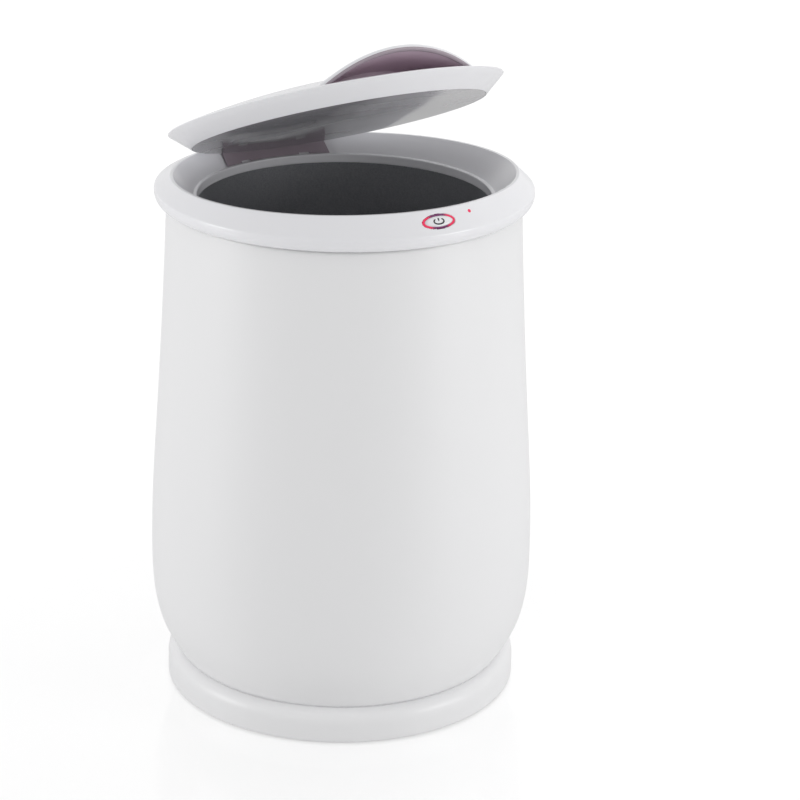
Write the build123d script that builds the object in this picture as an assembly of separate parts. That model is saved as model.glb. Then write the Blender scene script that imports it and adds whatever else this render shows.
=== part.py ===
from build123d import *
import os
from math import atan2, cos, hypot, radians, sin, tan

# Towel warmer bucket: a barrel-shaped heated bucket with a hinged, domed lid.
# Millimetres, +Z up. The origin is on the floor, at the centre of the base.
# The front, with the control face, looks along -Y, and the lid hinge is at the rear.

# Base
foot_stand_out = 1.5      # the rubber feet lift the base this far off the floor
foot_radius = 9.0
foot_sink = 1.2
foot_inset = 18.5         # from the plinth's edge to the feet's centres
plinth_radius = 158.5
plinth_height = 33.0      # top of the plinth above the floor
plinth_wall = 3.0
deck_wall = 2.5           # the plinth's top plate, which carries the body
deck_opening = 40.0
cover_wall = 2.5
vent_count = 16
vent_circle = 88.0
vent_length = 30.0
vent_width = 3.0
cord_hole_radius = 3.6

# Body, with radii of its outer skin at heights above the plinth
body_height = 416.5
body_wall = 2.8
body_foot_radius = 152.0
curl_radius = 162.5
curl_height = 23.0
belly_radius = 171.7
belly_height = 86.0
shoulder_radius = 165.8
shoulder_height = 217.0
waist_radius = 157.3
waist_height = 357.0
neck_inset = 3.4          # the body's neck stands inside the collar's foot
spigot_height = 3.0
rib_wall = 2.5
rib_height = 4.0

# Collar, with heights above its lower edge; the crest lies in a plane that rises to the front
rim_tilt = 2.12
collar_radius = 165.0
collar_foot_inset = 7.1
collar_bulge_height = 8.7
ridge_inset = 0.8
ridge_height = 12.4
crest_inset = 14.0
crest_height = 23.6       # at the bucket's axis
crest_land = 2.6          # flat width of the crest, outside the lid's seat
recess_run = 17.4
lip_height = 4.0
throat_step = 3.1
throat_drop = 3.8
collar_wall = 2.7
crest_rounding = 0.5
lip_rounding = 1.0

# Inner bucket and what heats and seals it
bucket_play = 0.4
bucket_taper = 3.0
bucket_wall = 1.2
bucket_corner = 14.0
bucket_flange_inset = 8.5  # from the body's neck
under_bucket_space = 17.8
gasket_wall = 1.5
shelf_wall = 2.5
shelf_width = 13.0
wrap_wall = 1.5
wrap_start = 60.0         # heights above the bucket's floor
wrap_height = 220.0
wrap_angle = 345.0
sleeve_wall = 7.0
sleeve_start = 25.0
sleeve_height = 340.0
heater_radius = 85.0
heater_wall = 3.0
element_circle = 65.0
element_radius = 3.2
thermostat_radius = 8.0
thermostat_height = 8.0
fuse_radius = 2.0
fuse_length = 14.0
fuse_offset = 30.0
lead_radius = 1.3
lead_offset = 20.0

# Lid, in its closed place
lid_gap = 0.6             # between the lid's tip and the recess edge
lid_setback = 0.8         # the lid's centre lies this far behind the bucket's axis
lid_proud = 1.1
lid_seat_gap = 1.3
lid_lip_gap = 0.5
lid_wall = 2.5
dome_height = 17.5
lid_tip_rounding = 0.5
panel_wall = 2.5
panel_rim = 0.7
panel_ledge = 3.5
lid_foam_inset = 17.7
lid_foam_wall = 4.0
peg_count = 6
peg_inset = 31.7
peg_radius = 2.2
hollow_end = 7.0

# Hood over the finger pocket at the lid's front
arch_radius = 140.5
arch_peak = 26.1          # above the crest plane, at the hood's front
arch_slope = 6.2
hood_setback = 16.8
hood_front_radius = 178.0
hood_wall = 3.5
shelf_level = 2.2
pocket_back = 70.0
grip_wall = 1.2
grip_setback = 3.0

# Hinge
open_angle = 21.6         # the lid rests this far open
hinge_depth = 8.0         # the pin lies this far under the rear crest
pin_radius = 2.0
pin_play = 0.05
knuckle_radius = 4.2
arm_width = 9.0
arm_spacing = 60.0
arm_neck_reach = 9.1
arm_neck_rise = 5.6
arm_length = 25.0
arm_wall = 4.0
slot_play = 0.6
slot_front_reach = 12.4   # from the hinge axis
slot_rear_reach = 6.7
washer_wall = 1.2
bracket_wall = 1.5
bracket_half_length = 48.0
bracket_foot_reach = 15.0
bracket_foot_width = 7.0
bracket_lift = 2.5
hinge_cover_width = 104.0
hinge_cover_wall = 1.8
hinge_cover_setback = 4.0
nib_width = 9.6
nib_height = 1.2
nib_spacing = 59.5

# Power button, its lit ring and the indicator on the control face
button_rise = 0.5         # share of the way up the control face
ring_half_width = 15.2
ring_half_height = 6.2
ring_side = 1.8
ring_top = 1.3
ring_depth = 5.4
ring_flange = 1.0
ring_flange_wall = 1.2
button_gap = 0.3
button_travel = 1.0
button_flange_wall = 1.0
button_proud = 0.2
switch_size = 6.0
switch_height = 1.2
lens_radius = 1.5
lens_offset = 32.7
lens_rise = 5.9
board_wall = 1.2
control_board_left = 21.0
control_board_right = 37.0
control_board_low = 9.0
control_board_high = 4.5
control_tab_width = 8.0
control_tab_high = 7.8

# Power board in the base
board_length = 84.0
board_width = 62.0
board_lift = 7.0
board_inset = 5.0
relay = (18.0, 18.0, 13.0)            # lengths along X, Y and Z
relay_place = (-25.0, 1.0)
transformer = (22.0, 20.0, 14.0)
transformer_place = (3.0, -14.0)
terminals = (24.0, 10.0, 9.0)
fuse_block = (20.0, 8.0, 7.0)
fuse_block_place = (28.0, -2.0)
capacitor_radius = 5.0
capacitor_height = 13.0
capacitor_place = (26.0, 16.0)

# Fasteners and clearances
screw_radius = 1.5
screw_head_radius = 3.0
screw_head_height = 1.6
screw_bite = 10.0
boss_radius = 4.0
fit_gap = 0.2
seat_gap = 0.3

# Levels and places that follow
foot_circle = plinth_radius - foot_inset
collar_foot_radius = collar_radius - collar_foot_inset
ridge_radius = collar_radius - ridge_inset
crest_radius = collar_radius - crest_inset
recess_radius = crest_radius - crest_land
lip_radius = recess_radius - recess_run
throat_radius = lip_radius - throat_step
bucket_top_radius = throat_radius - bucket_play
bucket_base_radius = bucket_top_radius - bucket_taper
neck_radius = collar_foot_radius - neck_inset
bucket_flange_radius = neck_radius - bucket_flange_inset
shelf_radius = bucket_flange_radius - shelf_width
body_bottom = plinth_height
seam = body_bottom + body_height
spigot_radius = neck_radius - seat_gap
cover_top = foot_stand_out + cover_wall
deck_bottom = plinth_height - deck_wall
ridge_z = seam + ridge_height
crest_z = seam + crest_height
lip_z = seam + lip_height
flange_top = seam - throat_drop
flange_bottom = flange_top - bucket_wall
shelf_top = flange_bottom - gasket_wall
shelf_bottom = shelf_top - shelf_wall
bucket_bottom = plinth_height + under_bucket_space
bucket_floor = bucket_bottom + bucket_wall
heater_bottom = bucket_bottom - heater_wall
rise = tan(radians(rim_tilt))
hinge_y = crest_radius
slot_front = hinge_y - slot_front_reach
slot_rear = hinge_y + slot_rear_reach
bracket_foot_front = hinge_y - bracket_foot_reach
hinge_cover_top = hinge_y - hinge_cover_setback
hinge_z = crest_z - rise * crest_radius - hinge_depth
lid_radius = recess_radius - lid_gap
hood_front = lid_radius - hood_setback
band_radius = lip_radius - lid_seat_gap
lid_foam_radius = band_radius - lid_foam_inset
peg_circle = band_radius - peg_inset
band_drop = crest_z - lip_z - rise * (band_radius + lid_setback) + lid_proud - lid_lip_gap
band_z = lid_proud - band_drop
band_run = (lid_radius - band_radius) / band_drop
dome_radius = (lid_radius**2 + dome_height**2) / (2 * dome_height)
dome_top = lid_proud + dome_height
panel_top = band_z + panel_wall
recess_slope = atan2(crest_height - lip_height, recess_radius - lip_radius)
skin_growth = collar_wall / sin(recess_slope)
arm_x = arm_spacing / 2
ear_inner = arm_width / 2 + seat_gap + washer_wall
collar_screw_circle = (shelf_radius + bucket_flange_radius) / 2
body_screw_circle = body_foot_radius - body_wall - rib_wall - boss_radius - 2 * seat_gap
cover_screw_circle = 0.85 * plinth_radius

BASE = (Align.CENTER, Align.CENTER, Align.MIN)
LID_PLACE = Location((0, 0, crest_z), (-rim_tilt, 0, 0)) * Location((0, lid_setback, 0))
HINGE_AXIS = Axis((0, hinge_y, hinge_z), (1, 0, 0))


def rod(radius, bottom, top, x=0, y=0):
    """An upright cylinder between two levels."""
    return Location((x, y, bottom)) * Cylinder(radius, top - bottom, align=BASE)


def tube(outer, inner, bottom, top):
    """An upright ring between two levels, about the bucket's axis."""
    return rod(outer, bottom, top) - rod(inner, bottom, top)


def turned(outline, turn=360):
    """A solid of revolution about Z from a closed outline of (radius, height) edges."""
    return revolve(Plane.XZ * make_face(outline), Axis.Z, turn)


def slab(x0, x1, y0, y1, z0, z1):
    """A box given by its limits."""
    size = (x1 - x0, y1 - y0, z1 - z0)
    return Location((x0, y0, z0)) * Box(*size, align=(Align.MIN, Align.MIN, Align.MIN))


def block(size, place, bottom):
    """A block of a size that stands at a place on a level."""
    return Location((*place, bottom)) * Box(*size, align=BASE)


def spread(piece, places):
    """Copies of one piece at several places, kept as separate solids."""
    return Compound(children=[place * piece for place in places])


def around(radius, count, start=0):
    """Places evenly spaced on a circle about the bucket's axis."""
    return [Location(p) for p in circle_points(radius, count, start)]


def circle_points(radius, count, start):
    """Points evenly spaced on a circle, the first at the start angle."""
    angles = [radians(start + 360 * i / count) for i in range(count)]
    return [(radius * cos(a), radius * sin(a), 0) for a in angles]


def screw(shank_bottom, shank_top, head_below=True):
    """A pan-head screw on the Z axis with its head at one end of the shank."""
    if head_below:
        head = rod(screw_head_radius, shank_bottom - screw_head_height, shank_bottom)
    else:
        head = rod(screw_head_radius, shank_top, shank_top + screw_head_height)
    return rod(screw_radius, shank_bottom, shank_top) + head


def body_curve(inset):
    """The barrel's outline, moved inwards by the given amount."""
    points = [
        (body_foot_radius, 0),
        (curl_radius, curl_height),
        (belly_radius, belly_height),
        (shoulder_radius, shoulder_height),
        (waist_radius, waist_height),
        (neck_radius, body_height),
    ]
    return Spline([(r - inset, body_bottom + h) for r, h in points])


def bucket_radius(z):
    """Outer radius of the inner bucket's tapered wall at a height."""
    share = (z - bucket_floor) / (flange_top - bucket_floor)
    inner = bucket_base_radius + share * (bucket_top_radius - bucket_base_radius)
    return inner + bucket_wall


# Base ------------------------------------------------------------------------------------

def base_plinth():
    wall = tube(plinth_radius, plinth_radius - plinth_wall, foot_stand_out, plinth_height)
    deck = tube(plinth_radius - plinth_wall / 2, deck_opening, deck_bottom, plinth_height)
    rib_outer = body_foot_radius - body_wall - seat_gap
    rib = tube(rib_outer, rib_outer - rib_wall, deck_bottom, plinth_height + rib_height)
    plinth = wall + deck
    top_edges = plinth.edges().filter_by(GeomType.CIRCLE).group_by(Axis.Z)[-1]
    plinth = fillet(top_edges.sort_by(SortBy.RADIUS)[-1], 2.5)
    plinth += rib
    for place in around(cover_screw_circle, 4):
        plinth += place * rod(boss_radius, cover_top, deck_bottom)
        plinth -= place * rod(screw_radius, cover_top, cover_top + 12)
    for place in around(body_screw_circle, 4, 45):
        plinth -= place * rod(screw_radius + fit_gap, deck_bottom, plinth_height)
    gland_place = Location((0, plinth_radius, gland_z()), (90, 0, 0))
    hole = gland_place * Cylinder(gland_neck() + fit_gap, 4 * plinth_wall)
    return plinth - hole


def gland_z():
    """Height of the cord gland, midway up the space under the deck."""
    return (cover_top + deck_bottom) / 2


def gland_neck():
    """Radius of the gland's neck, where it passes the plinth's wall."""
    return cord_hole_radius + 1.8


def cord_gland():
    outside = Plane(origin=(0, plinth_radius, gland_z()), z_dir=(0, 1, 0))
    neck = gland_neck()
    back = plinth_wall + 2.0
    body = outside * Location((0, 0, -back)) * Cylinder(neck, back + 2, align=BASE)
    body += outside * Cylinder(neck + 2.6, 2.4, align=BASE)
    body += outside * Location((0, 0, 2.4)) * Cone(neck, neck - 1.0, 8.0, align=BASE)
    body += outside * Location((0, 0, -back)) * Cylinder(neck + 1.0, 1.6, align=BASE)
    bore = outside * Location((0, 0, -2 * back)) * Cylinder(cord_hole_radius, 5 * back, align=BASE)
    return body - bore


def base_cover():
    radius = plinth_radius - plinth_wall - fit_gap
    plate = rod(radius, foot_stand_out, cover_top)
    vent = Location((0, 0, foot_stand_out)) * extrude(SlotOverall(vent_length, vent_width), cover_wall)
    for i in range(vent_count):
        plate -= Rotation(0, 0, 360 * (i + 0.5) / vent_count) * Location((vent_circle, 0, 0)) * vent
    for place in around(foot_circle, 4, 45):
        plate -= place * rod(foot_radius + fit_gap, foot_stand_out, foot_stand_out + foot_sink)
    for place in around(cover_screw_circle, 4):
        plate -= place * rod(screw_radius + fit_gap, foot_stand_out, cover_top)
        plate -= place * rod(screw_head_radius + fit_gap, foot_stand_out, foot_stand_out + 1.2)
    for place in board_posts():
        plate += place * rod(boss_radius - 1, cover_top, cover_top + board_lift)
        plate -= place * rod(screw_radius, cover_top + 1, cover_top + board_lift)
    return plate


def board_posts():
    """Places of the four posts under the power board."""
    x = board_length / 2 - board_inset
    y = board_width / 2 - board_inset
    return [Location((i * x, j * y, 0)) for i in (-1, 1) for j in (-1, 1)]


def rubber_feet():
    foot = rod(foot_radius, 0, foot_stand_out + foot_sink)
    foot = chamfer(foot.edges().group_by(Axis.Z)[0], foot_stand_out / 3)
    return spread(foot, around(foot_circle, 4, 45))


def base_screws():
    head_level = foot_stand_out + 1.2
    shank = rod(screw_radius, head_level, cover_top + screw_bite)
    head = rod(screw_head_radius, head_level - 1.0, head_level)
    return spread(shank + head, around(cover_screw_circle, 4))


def power_board():
    bottom = cover_top + board_lift
    top = bottom + board_wall
    board = slab(-board_length / 2, board_length / 2, -board_width / 2, board_width / 2, bottom, top)
    for place in board_posts():
        board -= place * rod(screw_radius + fit_gap, bottom, top)
    board += block(relay, relay_place, top)
    board += block(transformer, transformer_place, top)
    board += block(terminals, (0, lead_offset), top)
    board += block(fuse_block, fuse_block_place, top)
    return board + rod(capacitor_radius, top, top + capacitor_height, *capacitor_place)


def power_board_screws():
    bottom = cover_top + board_lift - 4
    return spread(screw(bottom, bottom + 4 + board_wall, head_below=False), board_posts())


def heater_leads():
    bottom = cover_top + board_lift + board_wall + terminals[2]
    lead = rod(lead_radius, bottom, heater_bottom)
    return spread(lead, [Location((-4, lead_offset, 0)), Location((4, lead_offset, 0))])


# Body ------------------------------------------------------------------------------------

def body_shell():
    outer = body_curve(0)
    inner = body_curve(body_wall)
    outline = [outer, inner, Line(outer @ 0, inner @ 0), Line(outer @ 1, inner @ 1)]
    shell = turned(outline)
    neck_inner = neck_radius - body_wall
    shell += tube(spigot_radius, neck_inner, seam - 2, seam + spigot_height)
    shell += tube(neck_radius - body_wall / 2, shelf_radius, shelf_bottom, shelf_top)
    half = hinge_cover_width / 2
    shell -= slab(-half, half, 0, 2 * neck_radius, seam, seam + 2 * spigot_height)
    for place in around(collar_screw_circle, 6):
        shell -= place * rod(screw_radius + fit_gap, shelf_bottom, shelf_top)
    boss_top = body_bottom + 14
    axis = Line((0, body_bottom), (0, seam))
    barrel = turned([inner, Line(inner @ 0, (0, body_bottom)), axis, Line((0, seam), inner @ 1)])
    web_length = body_wall + rib_wall + 3 * boss_radius
    web = slab(0, web_length, -1.5, 1.5, body_bottom + rib_height + seat_gap, boss_top)
    for i, place in enumerate(around(body_screw_circle, 4, 45)):
        shell += place * (rod(boss_radius, body_bottom, boss_top))
        shell += (place * Rotation(0, 0, 45 + 90 * i) * web) & barrel
        shell -= place * rod(screw_radius, body_bottom, boss_top - 2)
    return shell


def body_screws():
    return spread(screw(deck_bottom, body_bottom + screw_bite), around(body_screw_circle, 4, 45))


# Collar ----------------------------------------------------------------------------------

def slanted(low_radius, low_z, high_radius, high_z):
    """A body between a level circle and one in a plane that rises to the front."""
    low = Location((0, 0, low_z)) * Circle(low_radius)
    high = Location((0, 0, high_z), (-rim_tilt, 0, 0)) * Circle(high_radius)
    return loft([low.face(), high.face()], ruled=True)


def tilted_rod(radius, low, high):
    """A cylinder square to the crest plane, between two levels above that plane."""
    return Location((0, 0, crest_z), (-rim_tilt, 0, 0)) * rod(radius, low, high)


def outer_form(growth):
    """The collar's outer form: a bulged foot, a ridge and a control face up to the crest."""
    bulge_z = seam + collar_bulge_height
    foot = (collar_foot_radius + growth, seam)
    wall = (collar_radius + growth, bulge_z)
    ridge = (ridge_radius + growth, ridge_z)
    bulge = EllipticalCenterArc((foot[0], bulge_z), wall[0] - foot[0], collar_bulge_height, 270, arc_size=90)
    shoulder = Spline(wall, ridge, tangents=[(0, 1), (-1, 1)])
    sides = [Line((0, seam), foot), bulge, shoulder, Line(ridge, (0, ridge_z)), Line((0, ridge_z), (0, seam))]
    return turned(sides) + slanted(ridge_radius + growth, ridge_z, crest_radius + growth, crest_z)


def recess_form(growth):
    """The dished seat in the collar that the lid drops into."""
    seat = slanted(lip_radius + growth, lip_z, recess_radius + growth, crest_z)
    return seat + tilted_rod(recess_radius + growth, 0, crest_height)


def cavity_form():
    """The hollow inside the collar, open below."""
    bottom = flange_top - 1
    top = ridge_z - 1
    mouth = spigot_radius + seat_gap
    wide = collar_radius - collar_wall
    step = seam + spigot_height + 1
    bulge = seam + collar_bulge_height
    skirt = [(0, bottom), (mouth, bottom), (mouth, step), (wide, bulge), (wide, top), (0, top)]
    inside = slanted(ridge_radius - collar_wall, top, crest_radius - collar_wall, crest_z - 1)
    hollow = turned(Polyline(*skirt, close=True)) + inside
    hollow -= recess_form(skin_growth)
    hollow -= rod(lip_radius + skin_growth, lip_z - collar_wall, lip_z)
    hollow -= rod(lip_radius, flange_top - 1, lip_z)
    half = pin_half_length() + seat_gap
    room = Location((-half, hinge_y, hinge_z), (0, 90, 0)) * Cylinder(knuckle_radius + 0.4, 2 * half, align=BASE)
    return hollow + room


def control_plane(out=0.0):
    """Plane on the control face at the button: X across, Y up the face, Z outwards."""
    low = (-ridge_radius, ridge_z)
    high = (-crest_radius * cos(radians(rim_tilt)), crest_z + crest_radius * sin(radians(rim_tilt)))
    run = (high[0] - low[0], high[1] - low[1])
    length = hypot(*run)
    normal = (0, -run[1] / length, run[0] / length)
    y = low[0] + button_rise * run[0] + out * normal[1]
    z = low[1] + button_rise * run[1] + out * normal[2]
    return Plane(origin=(0, y, z), x_dir=(1, 0, 0), z_dir=normal)


def control_prism(sketch, top, bottom):
    """A prism square to the control face, between two depths (outwards is positive)."""
    return extrude(control_plane(bottom) * sketch, top - bottom)


def board_depth():
    """Depth of the control board's outer face under the control face."""
    return ring_depth + seat_gap + button_flange_wall + button_travel + seat_gap + switch_height


def control_posts():
    """Places of the control board's two posts on the control face."""
    left = Location((-control_board_left + 2.8, -1.0))
    right = Location((lens_offset - 8.0, -2.0))
    return [left, right]


def bracket_posts():
    """Places of the hinge bracket's screws."""
    y = bracket_foot_front + bracket_foot_width / 2
    reach = bracket_half_length - bracket_foot_width / 2
    return [Location((x, y, 0)) for x in (-reach, 0, reach)]


def hinge_cover_form(gap, wall):
    """The stretch of the recess slope that the hinge cover fills."""
    growth = wall / sin(recess_slope)
    half = hinge_cover_width / 2 - gap
    skin = slanted(lip_radius + growth, lip_z, recess_radius + growth, crest_z) - recess_form(0)
    window = slab(-half, half, 0, hinge_cover_top - gap, lip_z + gap, crest_z + crest_height)
    plate = skin & window
    nib = slab(-nib_width / 2 - gap, nib_width / 2 + gap, 0, 2 * lip_radius, lip_z, lip_z + nib_height + gap)
    for x in (-nib_spacing / 2, nib_spacing / 2):
        plate -= Location((x, 0, 0)) * nib
    return plate


def arm_slots():
    """The two slots in the collar's rear that the hinge arms swing in."""
    half = arm_width / 2 + slot_play
    slot = slab(-half, half, slot_front, slot_rear, lip_z + 1, crest_z + crest_height)
    return [Location((x, 0, 0)) * slot for x in (-arm_x, arm_x)]


def collar():
    body = outer_form(0)
    body += rod(lip_radius, flange_top, seam + 1)
    body -= rod(throat_radius, flange_top, crest_z)
    body -= recess_form(0)
    body = fillet(body.edges().group_by(Axis.Z)[-1], crest_rounding)
    circles = body.edges().filter_by(GeomType.CIRCLE)
    lip = [edge for edge in circles if abs(edge.radius - throat_radius) < fit_gap]
    body = fillet(ShapeList(lip).sort_by(Axis.Z)[-1], lip_rounding)
    hollow = cavity_form()
    for place in around(collar_screw_circle, 6):
        hollow -= place * rod(boss_radius - 0.5, flange_top, crest_z)
    foot_z = flange_top + bracket_lift + bracket_wall
    for place in bracket_posts():
        hollow -= place * rod(boss_radius - 1, foot_z, crest_z)
    for place in control_posts():
        hollow -= control_prism(place * Circle(boss_radius - 1.6), 0, -board_depth())
    body -= hollow
    for place in around(collar_screw_circle, 6):
        body -= place * rod(screw_radius, flange_top, flange_top + 8)
    for place in bracket_posts():
        body -= place * rod(screw_radius, foot_z, foot_z + 5)
    for place in control_posts():
        body -= control_prism(place * Circle(1.0), -board_depth() + 4, -board_depth())
    body -= control_prism(Ellipse(ring_half_width + fit_gap, ring_half_height + fit_gap), 3, -ring_depth)
    lens_bore = Location((lens_offset, lens_rise)) * Circle(lens_radius + fit_gap)
    body -= control_prism(lens_bore, 3, -board_depth())
    body -= hinge_cover_form(0, hinge_cover_wall)
    for slot in arm_slots():
        body -= slot
    return body


def collar_screws():
    return spread(screw(shelf_bottom, flange_top + 7), around(collar_screw_circle, 6))


def hinge_cover():
    plate = hinge_cover_form(fit_gap, hinge_cover_wall - fit_gap)
    for slot in arm_slots():
        plate -= slot
    return plate


# Hinge -----------------------------------------------------------------------------------

def pin_half_length():
    """Half the pin's length: it stands out a little past the outer ears."""
    return arm_x + ear_inner + bracket_wall + 1.0


def hinge_pin():
    half = pin_half_length()
    return Location((-half, hinge_y, hinge_z), (0, 90, 0)) * Cylinder(pin_radius, 2 * half, align=BASE)


def hinge_bracket():
    foot_z = flange_top + bracket_lift
    foot_rear = bracket_foot_front + bracket_foot_width
    strip_top = foot_z + bracket_wall
    strip = slab(-bracket_half_length, bracket_half_length, bracket_foot_front, foot_rear, foot_z, strip_top)
    for place in bracket_posts():
        strip -= place * rod(screw_radius + fit_gap, foot_z, foot_z + bracket_wall)
    head = Location((hinge_y, hinge_z)) * Circle(pin_radius + 1.6)
    heel_place = Location(((bracket_foot_front + foot_rear) / 2, foot_z + bracket_wall / 2))
    heel = heel_place * Rectangle(bracket_foot_width, bracket_wall)
    outline = make_hull(head.edges() + heel.edges()) - Location((hinge_y, hinge_z)) * Circle(pin_radius)
    ear = extrude(Plane.YZ * outline, bracket_wall)
    for side in (-1, 1):
        for reach in (ear_inner, -ear_inner - bracket_wall):
            strip += Location((side * arm_x + reach, 0, 0)) * ear
    return strip


def bracket_screws():
    bottom = flange_top + bracket_lift
    return spread(screw(bottom, bottom + bracket_wall + 4.5), bracket_posts())


def hinge_washers():
    washer = Plane.YZ * Location((hinge_y, hinge_z)) * (Circle(knuckle_radius - 0.4) - Circle(pin_radius))
    washer = extrude(washer, washer_wall)
    reach = arm_width / 2 + seat_gap
    places = [side * arm_x + x for side in (-1, 1) for x in (reach, -reach - washer_wall)]
    return spread(washer, [Location((x, 0, 0)) for x in places])


def hinge_in_lid():
    """The hinge axis in the closed lid's own frame, as (y, z)."""
    place = LID_PLACE.inverse() * Location((0, hinge_y, hinge_z))
    return place.position.Y, place.position.Z


def arm_outline(gap):
    """Side view of a hinge arm in the lid's frame: knuckle, neck and tongue."""
    y, z = hinge_in_lid()
    knee = (y - arm_neck_reach, z + arm_neck_rise)
    half = arm_wall / 2 + gap
    knuckle = Location((y, z)) * Circle(knuckle_radius + gap)
    bend = Location(knee) * Circle(half)
    end = Location((knee[0] - arm_length, knee[1])) * Circle(half)
    neck = make_hull(knuckle.edges() + bend.edges())
    return neck + make_hull(bend.edges() + end.edges())


def arm_pair(gap):
    """Both hinge arms in the lid's frame, without their holes."""
    half = arm_width / 2 + gap
    arm = extrude(Plane.YZ * Location((0, 0, -half)) * arm_outline(gap), 2 * half)
    return [Location((x, 0, 0)) * arm for x in (-arm_x, arm_x)]


def arm_screw_y():
    """How far back the screws that hold the arms to the lid lie, in the lid's frame."""
    return hinge_in_lid()[0] - arm_neck_reach - arm_length + 4.0


def tongue_level():
    """Height of the tongues' middle in the lid's frame."""
    return hinge_in_lid()[1] + arm_neck_rise


def placed(piece):
    """A lid piece moved from the lid's own frame to the rest pose, part open."""
    return (LID_PLACE * piece).rotate(HINGE_AXIS, -open_angle)


def hinge_arms():
    y, z = hinge_in_lid()
    bore = Location((0, y, z), (0, 90, 0)) * Cylinder(pin_radius + pin_play, 2 * arm_spacing)
    arms = []
    for x, arm in zip((-arm_x, arm_x), arm_pair(0)):
        hole = rod(screw_radius + fit_gap, -arm_length, arm_length, x, arm_screw_y())
        arms.append(arm - bore - hole)
    return placed(Compound(children=arms))


def arm_screws():
    bottom = tongue_level() - arm_wall / 2
    places = [Location((x, arm_screw_y(), 0)) for x in (-arm_x, arm_x)]
    return placed(spread(screw(bottom, bottom + arm_wall + 4), places))


# Lid, in its own frame: origin in the crest plane at the lid's centre ---------------------

def dome_ball(inset):
    """The ball whose cap is the dome, or its inner face."""
    centre = Location((0, 0, dome_top - dome_radius))
    return centre * Rotation(0, 90, 0) * Sphere(dome_radius - inset)


def dome_form():
    """The solid lens between the dome and the tapered band."""
    over = dome_top + 1
    band = [(0, band_z), (band_radius, band_z), (lid_radius, lid_proud), (lid_radius, over), (0, over)]
    form = turned(Polyline(*band, close=True)) & dome_ball(0)
    rim = form.edges().filter_by(GeomType.CIRCLE).sort_by(SortBy.RADIUS)[-1]
    return fillet(rim, lid_tip_rounding)


def lid_hollow():
    """The space inside the lid over the panel's ledge."""
    low = panel_top + lid_wall
    inner_run = lid_wall / sin(atan2(1, band_run))
    end = lid_radius - hollow_end
    end_low = band_z + (end + inner_run - band_radius) / band_run
    foot = band_radius + (low - band_z) * band_run - inner_run
    sides = [(0, low), (foot, low), (end, end_low), (end, dome_top), (0, dome_top)]
    mouth = rod(panel_seat_radius() - panel_ledge, panel_top, low)
    space = turned(Polyline(*sides, close=True)) & dome_ball(lid_wall)
    return space + mouth + rod(panel_seat_radius(), band_z - 1, panel_top)


def panel_seat_radius():
    """Radius of the rebate that takes the lid's bottom panel."""
    return band_radius - panel_rim


def arch(radius_cut):
    """The hood's barrel vault, which sinks to the rear, with its radius cut by an amount."""
    slope = radians(arch_slope)
    along = (0, cos(slope), -sin(slope))
    start = (0, -hood_front - arch_radius * sin(slope), arch_peak - arch_radius * cos(slope))
    plane = Plane(origin=start, x_dir=(1, 0, 0), z_dir=along)
    return plane * Cylinder(arch_radius - radius_cut, 2.4 * arch_radius)


def hood_plan(setback):
    """The upright cylinder whose front is the hood's bowed front face."""
    y = hood_front_radius - hood_front
    return rod(hood_front_radius - setback, band_z, 2 * arch_peak, 0, y)


def vault(radius_cut, floor, back):
    """The space under the hood's vault, over a floor and in front of a back wall."""
    room = slab(-lid_radius, lid_radius, -2 * lid_radius, -back, floor, 2 * arch_peak)
    return arch(radius_cut) & room


def pocket(wall, setback):
    """The finger pocket under the hood, lined by a wall and open to the front."""
    floor = shelf_level - grip_wall + wall
    return vault(hood_wall + wall, floor, pocket_back + wall) & hood_plan(setback)


def lid_shell():
    over_shelf = vault(0, shelf_level, pocket_back / 3)
    shell = dome_form() + (over_shelf & hood_plan(0))
    shell -= over_shelf - hood_plan(0)
    hollow = lid_hollow() - vault(-lid_wall, shelf_level - grip_wall - lid_wall, pocket_back - lid_wall)
    bosses = [place * rod(boss_radius, peg_top() - 3, dome_top) for place in around(peg_circle, peg_count, 30)]
    tongue_top = tongue_level() + arm_wall / 2
    bosses += [rod(boss_radius - 0.5, tongue_top, dome_top, x, arm_screw_y()) for x in (-arm_x, arm_x)]
    for boss in bosses:
        hollow -= boss
    shell -= hollow
    shell -= vault(0, shelf_level, pocket_back)
    shell -= pocket(0, 0)
    for place in around(peg_circle, peg_count, 30):
        shell -= place * rod(peg_radius + fit_gap, panel_top, peg_top() + 0.5)
    for x in (-arm_x, arm_x):
        shell -= rod(screw_radius, tongue_top, tongue_top + 5, x, arm_screw_y())
    for arm in arm_pair(fit_gap):
        shell -= arm
    return placed(shell)


def lid_hood():
    hood = vault(0, shelf_level, pocket_back) & hood_plan(0)
    return placed(hood - pocket(0, 0))


def peg_top():
    """Top of the panel's pegs."""
    return panel_top + lid_foam_wall + 4.0


def grip_insert():
    return placed(pocket(0, grip_setback) - pocket(grip_wall, 0))


def lid_panel():
    panel = rod(panel_seat_radius() - fit_gap, band_z, panel_top)
    for place in around(peg_circle, peg_count, 30):
        panel += place * rod(peg_radius, panel_top, peg_top())
    return placed(panel)


def lid_foam():
    foam = rod(lid_foam_radius, panel_top, panel_top + lid_foam_wall)
    for place in around(peg_circle, peg_count, 30):
        foam -= place * rod(boss_radius + fit_gap, panel_top, panel_top + lid_foam_wall)
    return placed(foam)


# Inner bucket and heating ----------------------------------------------------------------

def tapered(inset, bottom, top, corner):
    """A tapered round body that follows the inner bucket's wall, rounded at its foot."""
    low = bucket_radius(bottom) - inset
    high = bucket_radius(top) - inset
    outline = Polyline((0, bottom), (low, bottom), (high, top), (0, top), close=True)
    body = turned(outline)
    foot = body.edges().filter_by(GeomType.CIRCLE).group_by(Axis.Z)[0]
    return fillet(foot, corner) if corner else body


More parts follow.
